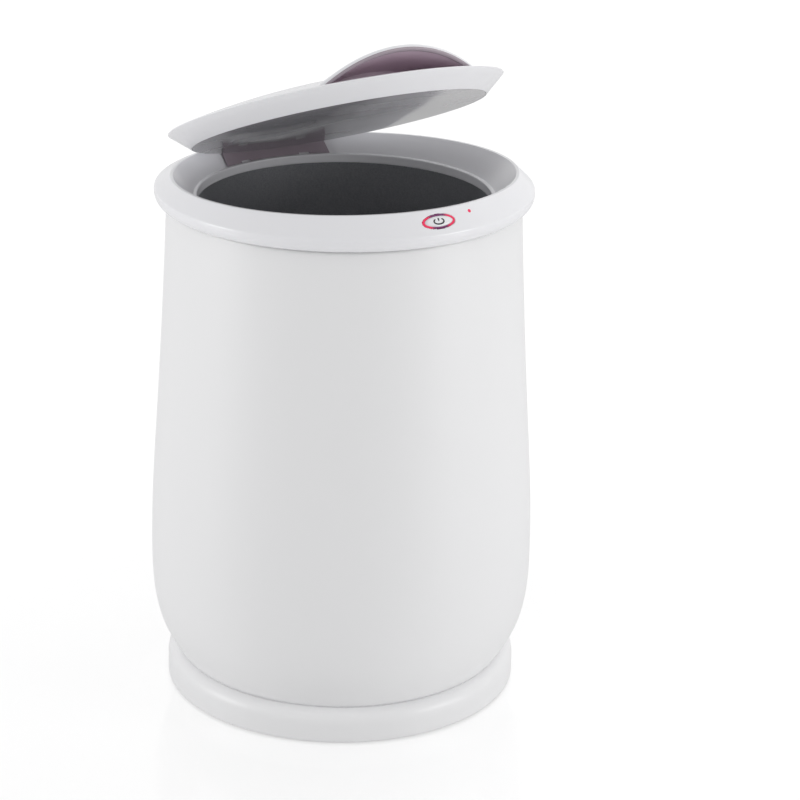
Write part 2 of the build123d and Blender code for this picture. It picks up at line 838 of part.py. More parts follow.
def inner_bucket():
    pot = tapered(0, bucket_bottom, flange_top, bucket_corner + bucket_wall)
    pot += rod(bucket_flange_radius, flange_bottom, flange_top)
    pot -= tapered(bucket_wall, bucket_floor, flange_top + 1, bucket_corner)
    for place in around(collar_screw_circle, 6):
        pot -= place * rod(screw_radius + fit_gap, flange_bottom, flange_top)
    return pot


def bucket_gasket():
    ring = tube(bucket_flange_radius, shelf_radius, shelf_top, flange_bottom)
    for place in around(collar_screw_circle, 6):
        ring -= place * rod(screw_radius + fit_gap, shelf_top, flange_bottom)
    return ring


def jacket(inner, outer, bottom, top, turn):
    """A layer round the inner bucket between two distances from its wall."""
    low = bucket_radius(bottom)
    high = bucket_radius(top)
    points = [(low + inner, bottom), (low + outer, bottom), (high + outer, top), (high + inner, top)]
    layer = turned(Polyline(*points, close=True), turn)
    return Rotation(0, 0, 90 + (360 - turn) / 2) * layer


def heater_wrap():
    bottom = bucket_floor + wrap_start
    return jacket(0, wrap_wall, bottom, bottom + wrap_height, wrap_angle)


def insulation_sleeve():
    bottom = bucket_floor + sleeve_start
    inner = wrap_wall + fit_gap
    return jacket(inner, inner + sleeve_wall, bottom, bottom + sleeve_height, 360)


def bottom_heater():
    plate = rod(heater_radius, heater_bottom, bucket_bottom)
    element = Location((0, 0, heater_bottom)) * Torus(element_circle, element_radius)
    return plate + (element - rod(heater_radius, heater_bottom, bucket_bottom + element_radius))


def thermostat():
    plate_bottom = heater_bottom - bucket_wall
    plate = slab(-13, 13, -5, 5, plate_bottom, heater_bottom)
    can = rod(thermostat_radius, plate_bottom - thermostat_height, plate_bottom)
    blades = slab(-5, -4, -2, 2, plate_bottom - thermostat_height - 3, plate_bottom - thermostat_height)
    blades += slab(4, 5, -2, 2, plate_bottom - thermostat_height - 3, plate_bottom - thermostat_height)
    return plate + can + blades


def thermal_fuse():
    centre = Location((0, -fuse_offset, heater_bottom - fuse_radius), (0, 90, 0))
    return centre * Cylinder(fuse_radius, fuse_length)


def fuse_clamp():
    y = -fuse_offset
    outer = fuse_radius + 1.0
    strap = slab(-4, 4, y - 8, y + 8, heater_bottom - 1.0, heater_bottom)
    saddle = Location((0, y, heater_bottom - fuse_radius), (0, 90, 0)) * Cylinder(outer, 8)
    strap += saddle & slab(-4, 4, y - outer, y + outer, heater_bottom - 2 * outer, heater_bottom)
    strap += slab(-4, 4, y - outer, y + outer, heater_bottom - fuse_radius, heater_bottom)
    bore = Location((0, y, heater_bottom - fuse_radius), (0, 90, 0)) * Cylinder(fuse_radius, 10)
    gap = slab(-5, 5, y - fuse_radius, y + fuse_radius, heater_bottom - fuse_radius, heater_bottom)
    return strap - bore - gap


# Button and indicator --------------------------------------------------------------------

def light_ring():
    depth = ring_depth - ring_flange_wall
    ring = control_prism(Ellipse(ring_half_width, ring_half_height), 3, -ring_depth)
    ring &= outer_form(seat_gap)
    flange = Ellipse(ring_half_width + ring_flange, ring_half_height + ring_flange)
    ring += control_prism(flange, -depth, -ring_depth)
    hole = Ellipse(ring_half_width - ring_side, ring_half_height - ring_top)
    return ring - control_prism(hole, 4, -ring_depth)


def power_button():
    half_width = ring_half_width - ring_side - button_gap
    half_height = ring_half_height - ring_top - button_gap
    top = ring_depth + seat_gap
    cap = control_prism(Ellipse(half_width, half_height), 3, -top)
    cap &= outer_form(button_proud)
    flange = Ellipse(half_width + ring_side, half_height + ring_top)
    return cap + control_prism(flange, -top, -top - button_flange_wall)


def indicator_lens():
    pipe = control_prism(Location((lens_offset, lens_rise)) * Circle(lens_radius), 3, -board_depth() + 2)
    return pipe & outer_form(button_proud)


def control_board():
    face = board_depth()
    width = control_board_left + control_board_right
    height = control_board_low + control_board_high
    centre = ((control_board_right - control_board_left) / 2, (control_board_high - control_board_low) / 2)
    plate = Location(centre) * Rectangle(width, height)
    tab = Location((lens_offset, control_tab_high / 2)) * Rectangle(control_tab_width, control_tab_high)
    board = control_prism(plate + tab, -face, -face - board_wall)
    for place in control_posts():
        board -= control_prism(place * Circle(1.0 + fit_gap), -face, -face - board_wall)
    board += control_prism(Rectangle(switch_size, switch_size), -face + switch_height, -face)
    lamp = Location((lens_offset, lens_rise)) * Rectangle(2.5, 2.5)
    return board + control_prism(lamp, -face + 1.5, -face)


def control_screws():
    face = board_depth() + board_wall
    pieces = []
    for place in control_posts():
        shank = control_prism(place * Circle(1.0), -board_depth() + 3.5, -face)
        pieces.append(shank + control_prism(place * Circle(1.9), -face, -face - 1.2))
    return Compound(children=pieces)


PIECES = [
    base_plinth, base_cover, rubber_feet, base_screws, cord_gland, power_board, power_board_screws,
    heater_leads, body_shell, body_screws, collar, collar_screws, hinge_cover, hinge_bracket,
    bracket_screws, hinge_pin, hinge_washers, inner_bucket, bucket_gasket, heater_wrap,
    insulation_sleeve, bottom_heater, thermostat, thermal_fuse, fuse_clamp, light_ring,
    power_button, indicator_lens, control_board, control_screws, hinge_arms, arm_screws,
    lid_shell, lid_hood, grip_insert, lid_panel, lid_foam,
]

os.makedirs("parts", exist_ok=True)
for piece in PIECES:
    export_step(piece(), f"parts/{piece.__name__}.step")
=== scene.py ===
import math

import bmesh
import bpy
import numpy as np
from mathutils import Matrix, Vector


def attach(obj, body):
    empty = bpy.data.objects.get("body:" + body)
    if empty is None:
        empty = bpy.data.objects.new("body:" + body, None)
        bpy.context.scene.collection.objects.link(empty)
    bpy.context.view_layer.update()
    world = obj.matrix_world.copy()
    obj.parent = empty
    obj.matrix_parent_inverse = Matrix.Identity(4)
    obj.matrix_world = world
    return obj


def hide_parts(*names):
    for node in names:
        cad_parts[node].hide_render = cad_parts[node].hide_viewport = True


bl_info = {
    "name": "Towel warmer bucket",
    "version": (1, 0, 0),
    "blender": (4, 5, 0),
    "location": "View3D > Sidebar > Towel warmer",
    "description": "Dresses the towel warmer bucket's frame and sets its studio",
    "category": "Object",
}

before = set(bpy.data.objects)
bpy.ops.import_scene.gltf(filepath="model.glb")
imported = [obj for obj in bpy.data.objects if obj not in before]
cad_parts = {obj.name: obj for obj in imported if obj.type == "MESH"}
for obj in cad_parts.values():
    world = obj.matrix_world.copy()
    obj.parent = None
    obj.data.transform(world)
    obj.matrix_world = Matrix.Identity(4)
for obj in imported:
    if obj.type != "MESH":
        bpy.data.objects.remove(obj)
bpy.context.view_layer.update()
MM = 0.001

# Nearness in metres at which points are one, on a new surface and on a CAD node's loose triangles
WELD = 1e-6
CAD_WELD = 2e-6

# Lengths from here to the stage are millimetres, as in the frame. By HAIR, a line of points that lies
# on an edge counts as inside it.
HAIR = 0.01

# Body: radius and height above BODY_BOTTOM, from the foot, which nests in the plinth, upwards
BODY_PROFILE = [(147.5, -3.2), (155.3, 9), (162.4, 23), (171.7, 86), (165.8, 217), (157.3, 357),
                (154.5, 416.5)]
BODY_BOTTOM = 33.0
BODY_WALL = 2.8

# Plinth: a ring with a floor, and the roundings of its corners
PLINTH_RADIUS = 158.5
PLINTH_BOTTOM = 1.5
PLINTH_TOP = 30.4
PLINTH_WALL = 3.0
PLINTH_FLOOR = 2.5
PLINTH_BORE = 40.0
PLINTH_FOOT_ROUND = 1.2
PLINTH_INNER_ROUND = 9.0
PLINTH_EDGE_ROUND = 0.5

# Collar: its foot, bulge, ridge, crest, seat, the seat's foot and the throat, as radius and height
SEAM = 449.5
FOOT_RADIUS = 157.9
BULGE = (165.0, 458.2)
RIDGE = (164.2, 461.9)
CREST = (151.0, 473.1)
SEAT = (148.4, 473.1)
SEAT_FOOT = (131.0, 453.5)
THROAT = (127.9, 445.7)
CREST_ROUND = 0.6
SEAT_ROUND = 1.2
RIM_TILT = math.radians(2.12)

# How strongly the curve from bulge to ridge leaves the one and arrives at the other
BULGE_LEAVE = (0, 4.2)
RIDGE_ARRIVE = (-3.0, 2.7)

# Longest steps along the face, which the button's opening is cut from, and along the rest
FACE_STEP = 0.45
SEAT_STEP = 1.0

# Recess of the hinge cover in the seat, and slots of the arms from side to side and front to rear
COVER_HALF = 52.0
COVER_REAR = 147.0
COVER_DEPTH = 3.0
SLOTS = (24.9, 35.1, 138.6, 157.7)
SLOT_FLOOR = 1.0

# The collar's lines of points, by their angle from the rear. Their spacing changes at two angles, in
# degrees, and is closest round the button. At the rear they run straight back, as the sides of the slots
# do; over STRAIGHT_FADE, up to STRAIGHT_END, they turn to point at the axis. At STRAIGHT_RADIUS they
# don't shift.
REAR_LINES = 40
BUTTON_LINES = 173.8
STRAIGHT_END = math.radians(34)
STRAIGHT_FADE = math.radians(13)
STRAIGHT_RADIUS = 150

# Lid: depth and height of its hinge, how far it stands open and how far back it sits in the collar
HINGE = (151.0, 459.51)
OPEN_ANGLE = math.radians(21.6)
LID_SETBACK = 0.8

# Hood over the finger pocket, in the lid's own frame. An arch with its peak in front slopes to the rear;
# it is cut to a bow in front and to a line at HOOD_BACK, where the hood stands HOOD_LIFT above the arch
# so that it covers the dome. SHELF is the height of its feet, and HOOD_RUN the share of its length
# before the rounded edge.
ARCH_RADIUS = 140.5
ARCH_PEAK = 26.1
ARCH_SLOPE = math.radians(6.2)
HOOD_FRONT = 131.0
HOOD_FRONT_RADIUS = 178.0
HOOD_BACK = 30.0
HOOD_LIFT = 0.12
HOOD_RUN = 0.98
SHELF = 2.2

# Rim of the pocket's lining under the hood: where it starts, how deep it hangs and how far it reaches
LIP_START = 2.4
LIP_DEPTH = 2.9
LIP_REACH = 2.5
LIP_PROUD = 0.2
LIP_WALL = 0.6

# Control face: a point on it, its way up and its outward direction, and half the width and height of
# the button's opening, which is cut from what lies within BUTTON_DEPTH of the face
CONTROL = np.array([0, -157.6, 470.3])
FACE_UP = np.array([0, 0.62112, 0.78372])
FACE_OUT = np.array([0, -FACE_UP[2], FACE_UP[1]])
BUTTON_HOLE = (15.75, 6.75)
BUTTON_DEPTH = 3.0

# Standby sign: half the width and height of its ring, the ring's gap in degrees, the bar's two ends,
# and the width, height above the face and half thickness of the stroke
SIGN_RADIUS = 4.6
SIGN_HEIGHT = 2.5
SIGN_GAP = 70
SIGN_BAR = (0.3, 3.0)
SIGN_WIDTH = 1.3
SIGN_LEVEL = 0.15
SIGN_RISE = 0.05

# Light ring, painted light: how far from its middle the dim violet begins to turn to the brighter
# crimson, and where it is all crimson, which paints its two ends brighter
RING_PAINTED_GLOW_TURN = (5, 10)

# Stage, in metres: the floor's radius, and how high the lamps aim and how far off they stand
FLOOR_RADIUS = 8
LAMP_AIM = 0.28
LAMP_DISTANCE = 2.2


# Colours and nodes ------------------------------------------------------------------------

def linear(colour):
    """An sRGB hex colour as linear RGBA: each channel by the sRGB curve."""
    channels = [int(colour[i:i + 2], 16) / 255 for i in (1, 3, 5)]
    return [c / 12.92 if c <= 0.04045 else ((c + 0.055) / 1.055) ** 2.4 for c in channels] + [1.0]


def add(tree, kind, links=(), **settings):
    """A node with its settings; links pairs an input's name with an output socket."""
    made = tree.nodes.new(kind)
    for name, value in settings.items():
        if hasattr(made, name):
            setattr(made, name, value)
        else:
            made.inputs[name.replace("_", " ")].default_value = value
    for name, socket in links:
        tree.links.new(socket, made.inputs[name])
    return made


def bucket_settings():
    """The sizes, colours and levels set in the sidebar."""
    return bpy.context.scene.bucket


def material(name, **shader):
    """A material whose principled shader has these inputs set and waits for its patterns."""
    made = bpy.data.materials.new(name)
    made.use_nodes = True
    principled = made.node_tree.nodes["Principled BSDF"]
    for socket, value in shader.items():
        principled.inputs[socket.replace("_", " ")].default_value = value
    return made, made.node_tree, principled


def grain(tree, principled, size_mm, height_mm=0.0, roughness=None, detail=3.0):
    """Noise whose grain is size_mm across: bump if it has a height, and roughness if given a range."""
    place = add(tree, "ShaderNodeTexCoord")
    noise = add(tree, "ShaderNodeTexNoise", [("Vector", place.outputs["Object"])],
                Scale=1 / (size_mm * MM), Detail=detail)
    if height_mm:
        bump = add(tree, "ShaderNodeBump", [("Height", noise.outputs["Fac"])],
                   Strength=1.0, Distance=height_mm * MM)
        tree.links.new(bump.outputs["Normal"], principled.inputs["Normal"])
    if roughness:
        spread = add(tree, "ShaderNodeMapRange", [("Value", noise.outputs["Fac"])],
                     To_Min=roughness[0], To_Max=roughness[1])
        tree.links.new(spread.outputs["Result"], principled.inputs["Roughness"])
    return noise


# Surfaces ---------------------------------------------------------------------------------

def through(points, count):
    """A smooth curve through points: cubics over chord length, whose slope and bend agree at each."""
    points = np.asarray(points, float)
    at = np.concatenate([[0], np.cumsum(np.hypot(*np.diff(points, axis=0).T))])
    gaps = np.diff(at)
    rows = np.arange(1, len(at) - 1)
    system = np.eye(len(at))
    system[rows, rows - 1] = gaps[:-1]
    system[rows, rows] = 2 * (gaps[:-1] + gaps[1:])
    system[rows, rows + 1] = gaps[1:]
    turn = np.zeros_like(points)
    turn[1:-1] = 6 * np.diff(np.diff(points, axis=0) / gaps[:, None], axis=0)
    bend = np.linalg.solve(system, turn)
    s = np.linspace(0, at[-1], count)
    i = np.clip(np.searchsorted(at, s) - 1, 0, len(gaps) - 1)
    back, on, gap = (at[i + 1] - s)[:, None], (s - at[i])[:, None], gaps[i][:, None]
    curve = (bend[i] * back ** 3 + bend[i + 1] * on ** 3) / (6 * gap)
    curve += (points[i] / gap - bend[i] * gap / 6) * back
    return curve + (points[i + 1] / gap - bend[i + 1] * gap / 6) * on


def rounded(corners, closed=True, steps=6):
    """An outline with each corner (x, y, radius) turned into an arc that its two sides touch, and with
    a point on each side a quarter radius before and after it, which keeps the shading flat beyond."""
    corners = np.asarray(corners, float)
    tip, radius = corners[:, :2], np.maximum(corners[:, 2:], 1e-3)
    before, after = np.roll(tip, 1, 0) - tip, np.roll(tip, -1, 0) - tip
    before /= np.linalg.norm(before, axis=1, keepdims=True)
    after /= np.linalg.norm(after, axis=1, keepdims=True)
    half = 0.5 * np.arccos(np.clip((before * after).sum(1, keepdims=True), -1, 1))
    middle = before + after
    centre = tip + middle / np.linalg.norm(middle, axis=1, keepdims=True) * radius / np.sin(half)
    reach = radius / np.tan(half)
    start, end, sweep = tip + before * reach - centre, tip + after * reach - centre, np.pi - 2 * half
    share = np.linspace(0, 1, steps)[None, :, None]
    sweep = sweep[:, None]
    arc = np.sin((1 - share) * sweep) * start[:, None] + np.sin(share * sweep) * end[:, None]
    arc = centre[:, None] + arc / np.sin(sweep)
    lead = 0.25 * radius
    first = tip + before * (reach + lead)
    last = tip + after * (reach + lead)
    arcs = np.concatenate([first[:, None], arc, last[:, None]], 1)
    if closed:
        return arcs.reshape(-1, 2)
    return np.concatenate([tip[:1], arcs[1:-1].reshape(-1, 2), tip[-1:]])


def filled(outline, longest):
    """The outline with points added so that no step is longer than a length."""
    steps = np.maximum(1, np.ceil(np.hypot(*np.diff(outline, axis=0).T) / longest).astype(int))
    at = np.concatenate([np.arange(n) / n for n in steps] + [[0]])
    start = np.repeat(np.arange(len(steps)), steps)
    start = np.append(start, len(outline) - 1)
    end = np.minimum(start + 1, len(outline) - 1)
    return outline[start] + (outline[end] - outline[start]) * at[:, None]


def woven(name, points, made, across=True, along=True, kept=None):
    """A mesh from a grid of points, joined across or along where it closes on itself. Where given, kept
    takes the quads' middles and says which of them stay."""
    rows, columns = points.shape[:2]
    index = np.arange(rows * columns).reshape(rows, columns)
    if across:
        index = np.concatenate([index, index[:1]])
    if along:
        index = np.concatenate([index, index[:, :1]], 1)
    quads = np.stack([index[:-1, :-1], index[1:, :-1], index[1:, 1:], index[:-1, 1:]], -1).reshape(-1, 4)
    if kept is not None:
        quads = quads[kept(points.reshape(-1, 3)[quads].mean(1))]
    mesh = bpy.data.meshes.new(name)
    mesh.from_pydata((points.reshape(-1, 3) * MM).tolist(), [], quads.tolist())
    grid = bmesh.new()
    grid.from_mesh(mesh)
    bmesh.ops.remove_doubles(grid, verts=grid.verts, dist=WELD)
    loose = [vert for vert in grid.verts if not vert.link_faces]
    bmesh.ops.delete(grid, geom=loose, context="VERTS")
    grid.to_mesh(mesh)
    grid.free()
    mesh.shade_smooth()
    mesh.materials.append(made)
    piece = bpy.data.objects.new(name, mesh)
    bpy.context.scene.collection.objects.link(piece)
    return piece


def turned(name, outline, made, count=256):
    """A solid of revolution: each outline point (radius, height) goes round the upright axis."""
    angle = np.linspace(0, 2 * np.pi, count, endpoint=False)[:, None]
    radius, height = outline[None, :, 0], outline[None, :, 1]
    points = np.stack([radius * np.cos(angle), radius * np.sin(angle), height + 0 * angle], -1)
    return woven(name, points, made)


def to_rest(points):
    """Points of the lid's own frame in its part-open rest place: tilted with the rim, then swung back."""
    x, y, z = points[..., 0], points[..., 1] + LID_SETBACK, points[..., 2]
    level = y * math.cos(RIM_TILT) + z * math.sin(RIM_TILT) - HINGE[0]
    lift = z * math.cos(RIM_TILT) - y * math.sin(RIM_TILT) + CREST[1] - HINGE[1]
    c, s = math.cos(OPEN_ANGLE), math.sin(OPEN_ANGLE)
    return np.stack([x, level * c + lift * s + HINGE[0], lift * c - level * s + HINGE[1]], -1)


def merged(node, made, sharp):
    """A copy of a CAD node whose triangles share corners, shaded smooth up to an angle in degrees."""
    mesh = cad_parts[node].data.copy()
    grid = bmesh.new()
    grid.from_mesh(mesh)
    bmesh.ops.remove_doubles(grid, verts=grid.verts, dist=CAD_WELD)
    grid.to_mesh(mesh)
    grid.free()
    mesh.shade_smooth()
    mesh.set_sharp_from_angle(angle=math.radians(sharp))
    mesh.materials.clear()
    mesh.materials.append(made)
    piece = bpy.data.objects.new(node + "_finish", mesh)
    bpy.context.scene.collection.objects.link(piece)
    return piece


def stand_for(piece, node, body="housing"):
    """The piece takes the CAD node's place on its body."""
    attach(piece, body)
    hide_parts(node)


# Materials --------------------------------------------------------------------------------

def gloss_abs():
    """Injection-moulded glossy ABS: an even white, and highlights that soften a little in places."""
    made, tree, principled = material("gloss moulded ABS", Base_Color=bucket_settings().gloss_white,
                                      IOR=1.52)
    grain(tree, principled, size_mm=60.0, roughness=(0.22, 0.26), detail=0.0)
    return made


def satin_abs():
    """Satin ABS of barrel and plinth: a fine mould texture spreads the lamps into broad soft bands."""
    made, tree, principled = material("satin moulded ABS", Base_Color=bucket_settings().satin_white,
                                      IOR=1.5)
    grain(tree, principled, size_mm=1.6, height_mm=0.003, roughness=(0.31, 0.37), detail=1.0)
    return made


def anodised():
    """Hard-anodised aluminium: charcoal, with the fine sparkle of a blasted surface."""
    made, tree, principled = material("anodised aluminium", Metallic=0.35)
    noise = grain(tree, principled, size_mm=1.4, height_mm=0.03, roughness=(0.42, 0.58), detail=5.0)
    tone = add(tree, "ShaderNodeMix", [("Factor", noise.outputs["Fac"])], data_type="RGBA")
    tone.inputs[6].default_value = linear("#6B6C70")
    tone.inputs[7].default_value = linear("#9C9DA2")
    tree.links.new(tone.outputs[2], principled.inputs["Base Color"])
    return made


def smoked_panel():
    """Polished smoke-grey ABS: a mirror at low angles, whose faint swell bends what it reflects."""
    made, tree, principled = material("polished smoked ABS", Base_Color=bucket_settings().smoke,
                                      Roughness=0.08, IOR=1.5)
    grain(tree, principled, size_mm=60.0, height_mm=0.45, detail=0.0)
    return made


def grip_abs():
    """Satin moulded ABS of the finger pocket's lining: pale with a mauve tint, and even."""
    made, tree, principled = material("satin grey ABS", Base_Color=bucket_settings().grip_mauve, IOR=1.5)
    grain(tree, principled, size_mm=1.2, height_mm=0.01, roughness=(0.36, 0.46))
    return made


def cover_abs_and_rim_shade():
    """Grey moulded ABS of the hinge cover, slightly glossy; on the rim of the pocket's pale lining its
    darker grey is painted shade.
    """
    made, tree, principled = material("dark moulded ABS", Base_Color=bucket_settings().cover_grey_and_rim_shade,
                                      IOR=1.5)
    grain(tree, principled, size_mm=2.0, height_mm=0.01, roughness=(0.29, 0.38))
    return made


def lit_acrylic():
    """Moulded acrylic light guide, lit from behind, whose glow stands for the lamp behind it; the
    brighter crimson at its two ends and the dimmer violet between are painted light.
    """
    settings = bucket_settings()
    made, tree, principled = material("crimson acrylic", Roughness=0.25, IOR=1.49, Emission_Strength=0.25)
    place = add(tree, "ShaderNodeTexCoord")
    part = add(tree, "ShaderNodeSeparateXYZ", [("Vector", place.outputs["Object"])])
    side = add(tree, "ShaderNodeMath", [(0, part.outputs["X"])], operation="ABSOLUTE")
    near = add(tree, "ShaderNodeMapRange", [("Value", side.outputs[0])], interpolation_type="SMOOTHSTEP",
               From_Min=RING_PAINTED_GLOW_TURN[0] * MM, From_Max=RING_PAINTED_GLOW_TURN[1] * MM)
    tone = add(tree, "ShaderNodeMix", [("Factor", near.outputs["Result"])], data_type="RGBA")
    tone.inputs[6].default_value = settings.ring_painted_dim_violet
    tone.inputs[7].default_value = settings.ring_painted_bright_crimson
    tree.links.new(tone.outputs[2], principled.inputs["Base Color"])
    tree.links.new(tone.outputs[2], principled.inputs["Emission Color"])
    return made


def printed_ink():
    """Pad-printed charcoal ink of the standby sign, a touch rougher than the cap."""
    made, tree, principled = material("pad-printed ink", Base_Color=linear("#232227"))
    grain(tree, principled, size_mm=0.5, roughness=(0.45, 0.6))
    return made


def plated_steel():
    """Zinc-plated steel: bright, with the fine unevenness of the plating."""
    made, tree, principled = material("zinc-plated steel", Base_Color=linear("#C4C5C8"), Metallic=1.0)
    grain(tree, principled, size_mm=0.8, height_mm=0.01, roughness=(0.26, 0.4))
    return made


def black_rubber():
    """Moulded black rubber: matt, with a fine grain."""
    made, tree, principled = material("moulded rubber", Base_Color=linear("#2A2A2B"), Roughness=0.75)
    grain(tree, principled, size_mm=0.7, height_mm=0.03)
    return made


def silicone():
    """Terracotta silicone of the heater mat and gasket: matt, with the print of its glass backing."""
    made, tree, principled = material("silicone mat", Base_Color=linear("#A85A42"), Roughness=0.6)
    grain(tree, principled, size_mm=1.0, height_mm=0.04)
    return made


def felt(name, colour):
    """Needled fibre or soft foam: matt and a little uneven."""
    made, tree, principled = material(name, Base_Color=linear(colour), Roughness=0.9)
    grain(tree, principled, size_mm=2.5, height_mm=0.4)
    return made


def raw_aluminium():
    """Rolled aluminium sheet: pale, with soft blurred reflections."""
    made, tree, principled = material("rolled aluminium", Base_Color=linear("#C9CACC"), Metallic=1.0)
    grain(tree, principled, size_mm=1.5, height_mm=0.01, roughness=(0.32, 0.45))
    return made


def circuit_board():
    """Green solder mask over glass fibre, with the faint relief of its tracks."""
    made, tree, principled = material("solder mask", Base_Color=linear("#2C6B45"), Roughness=0.35)
    grain(tree, principled, size_mm=2.0, height_mm=0.03)
    return made


def ceramic():
    """Glazed cream ceramic of the thermostat's body."""
    made, tree, principled = material("glazed ceramic", Base_Color=linear("#D8D2C0"), Roughness=0.3)
    grain(tree, principled, size_mm=1.5, height_mm=0.01)
    return made


# What the CAD nodes that keep their own shape are made of
FINISHES = {
    gloss_abs: ["base_cover", "hinge_arms"],
    anodised: ["inner_bucket"],
    smoked_panel: ["lid_panel"],
    grip_abs: ["grip_insert"],
    cover_abs_and_rim_shade: ["hinge_cover"],
    lit_acrylic: ["light_ring", "indicator_lens"],
    plated_steel: ["base_screws", "power_board_screws", "body_screws", "collar_screws", "bracket_screws",
                   "control_screws", "arm_screws", "hinge_bracket", "hinge_pin", "hinge_washers",
                   "fuse_clamp"],
    black_rubber: ["rubber_feet", "cord_gland", "heater_leads"],
    silicone: ["bucket_gasket", "heater_wrap"],
    raw_aluminium: ["bottom_heater", "thermal_fuse"],
    circuit_board: ["power_board", "control_board"],
    ceramic: ["thermostat"],
}


def finish(names, made):
    """Every slot of these CAD nodes gets the material."""
    for name in names:
        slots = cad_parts[name].data.materials
        slots.clear()
        slots.append(made)


# Settings ---------------------------------------------------------------------------------

class BucketSettings(bpy.types.PropertyGroup):
    """Sizes, colours and levels that a user of the model would change."""

    plinth_shoulder: bpy.props.FloatProperty(
        name="Plinth shoulder", description="Rounding of the plinth's upper edge, in millimetres",
        default=12.0, min=0.5, max=20.0)
    collar_wall: bpy.props.FloatProperty(
        name="Collar wall", description="Thickness of the collar's skin, in millimetres",
        default=2.5, min=0.5, max=4.0)
    hood_wall: bpy.props.FloatProperty(
        name="Hood wall", description="Thickness of the hood, in millimetres",
        default=3.5, min=3.0, max=6.0)
    hood_edge: bpy.props.FloatProperty(
        name="Hood edge", description="Rounding of the hood's front edge, in millimetres",
        default=1.5, min=0.1, max=1.5)
    gloss_white: bpy.props.FloatVectorProperty(
        name="Gloss white", description="Colour of the collar, lid, hood and button",
        default=linear("#F1F1F4"), size=4, min=0, max=1, subtype="COLOR")
    satin_white: bpy.props.FloatVectorProperty(
        name="Satin white", description="Colour of the barrel and plinth",
        default=linear("#F2F2F3"), size=4, min=0, max=1, subtype="COLOR")
    smoke: bpy.props.FloatVectorProperty(
        name="Smoke", description="Colour of the panel inside the lid",
        default=linear("#A8A6AB"), size=4, min=0, max=1, subtype="COLOR")
    grip_mauve: bpy.props.FloatVectorProperty(
        name="Grip mauve", description="Colour of the finger pocket's lining",
        default=linear("#E3D2DE"), size=4, min=0, max=1, subtype="COLOR")
    # This grey is the hinge cover's own colour; on the rim of the pocket's lining it is painted shade
    cover_grey_and_rim_shade: bpy.props.FloatVectorProperty(
        name="Cover grey", description="Colour of the hinge cover and the lining's rim",
        default=linear("#A599A2"), size=4, min=0, max=1, subtype="COLOR")
    # The light ring's two colours are painted light: its ends are painted brighter crimson than its
    # violet middle
    ring_painted_bright_crimson: bpy.props.FloatVectorProperty(
        name="Ring crimson", description="Colour of the light ring at its two ends",
        default=linear("#E02C58"), size=4, min=0, max=1, subtype="COLOR")
    ring_painted_dim_violet: bpy.props.FloatVectorProperty(
        name="Ring violet", description="Colour of the light ring in its middle",
        default=linear("#6A2A5C"), size=4, min=0, max=1, subtype="COLOR")
    lens: bpy.props.FloatProperty(
        name="Lens", description="Focal length on a 36 mm sensor, in millimetres", default=118.67)
    camera_distance: bpy.props.FloatProperty(
        name="Camera distance", description="From the camera to its aim", default=2.370, unit="LENGTH")
    camera_height: bpy.props.FloatProperty(
        name="Aim height", description="Height of the point the camera circles",
        default=0.230, unit="LENGTH")
    camera_elevation: bpy.props.FloatProperty(
        name="Elevation", description="Camera's angle above the horizon",
        default=math.radians(21.38), subtype="ANGLE")
    camera_heading: bpy.props.FloatProperty(
        name="Heading", description="How far the object's front is turned from the camera",
        default=math.radians(29.4), subtype="ANGLE")
    camera_yaw: bpy.props.FloatProperty(
        name="Yaw", description="Turn of the camera about its own upright",
        default=math.radians(-1.245), subtype="ANGLE")
    camera_pitch: bpy.props.FloatProperty(
        name="Pitch", description="Nod of the camera", default=math.radians(0.721), subtype="ANGLE")
    camera_roll: bpy.props.FloatProperty(
        name="Roll", description="Roll of the camera", default=math.radians(-0.536), subtype="ANGLE")
    left_lamp: bpy.props.FloatProperty(
        name="Left lamp", description="Power of the left soft box", default=11.5, unit="POWER")
    right_lamp: bpy.props.FloatProperty(
        name="Right lamp", description="Power of the right soft box", default=11.4, unit="POWER")
    rear_lamp: bpy.props.FloatProperty(
        name="Rear lamp", description="Power of the rear soft box", default=4.5, unit="POWER")
    ambient: bpy.props.FloatProperty(
        name="Ambient", description="Level of the light from all round", default=0.63)
    floor_glow: bpy.props.FloatProperty(
        name="Floor glow", description="How much the floor glows to the eye", default=0.54)
    floor_tone: bpy.props.FloatProperty(
        name="Floor tone", description="How much of its light the floor shows to the eye", default=0.46)
    floor_bounce: bpy.props.FloatProperty(
        name="Floor bounce", description="How much of its light the floor gives the object", default=0.87)


# Operators --------------------------------------------------------------------------------

class BUCKET_OT_finishes(bpy.types.Operator):
    """Give the pieces that keep their own shape their finish"""

    bl_idname = "bucket.finishes"
    bl_label = "Finishes"

    def execute(self, context):
        for make, names in FINISHES.items():
            finish(names, make())
        finish(["insulation_sleeve"], felt("needled glass fibre", "#D9D7CF"))
        finish(["lid_foam"], felt("polyether foam", "#E6E4DE"))
        return {"FINISHED"}


class BUCKET_OT_body(bpy.types.Operator):
    """Make the barrel's smooth skin"""

    bl_idname = "bucket.body"
    bl_label = "Body"

    def execute(self, context):
        skin = through(BODY_PROFILE, count=90) + [0, BODY_BOTTOM]
        wall = skin[::-1] - [BODY_WALL, 0]
        piece = turned("body_skin", np.concatenate([skin, wall]), satin_abs())
        stand_for(piece, "body_shell")
        return {"FINISHED"}


